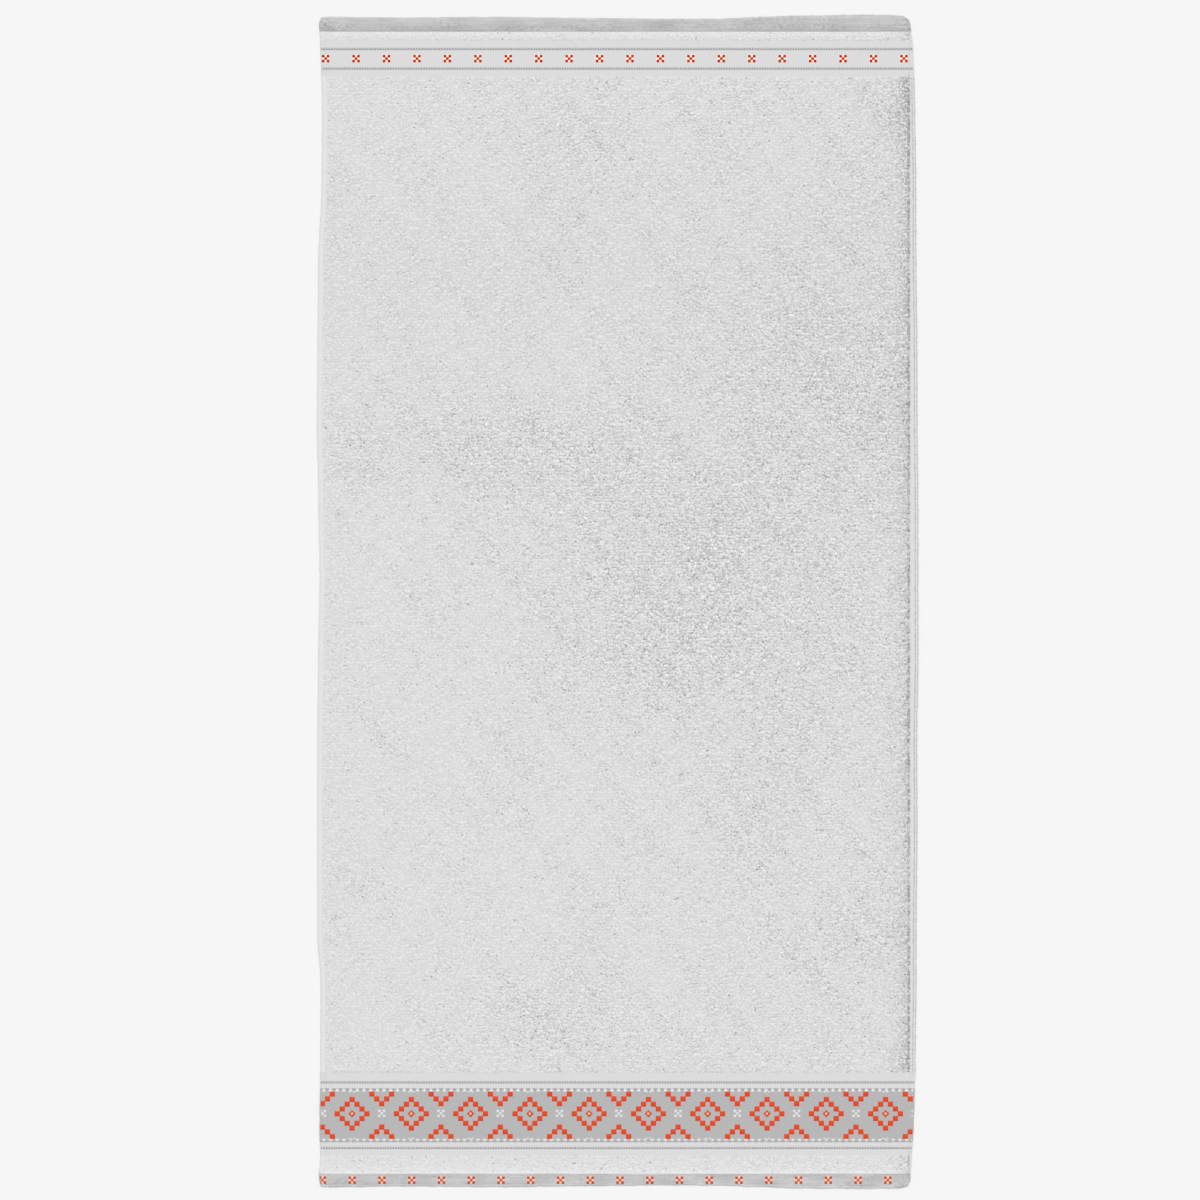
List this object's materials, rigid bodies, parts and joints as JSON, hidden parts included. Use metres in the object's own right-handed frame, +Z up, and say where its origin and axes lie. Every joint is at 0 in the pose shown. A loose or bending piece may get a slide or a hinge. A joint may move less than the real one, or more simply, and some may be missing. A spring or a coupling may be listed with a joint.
{
  "type": "bath towel",
  "caption": "Rectangular terry bath towel lying flat, with a soft pile body, flat-woven patterned borders across both ends and narrow sewn hems all round.",
  "frame": {"origin": "middle of the flat underside, where the towel rests", "axes": "+Z up out of the towel's face, Y along its length with the narrow border at +Y, X across it"},
  "size_m": [0.7171, 1.3991, 0.0052],
  "materials": {
    "terry_cloth": "matte looped cotton pile with flat-woven borders"
  },
  "bodies": {
    "root": {"towel": "terry_cloth"}
  },
  "joints": []
}
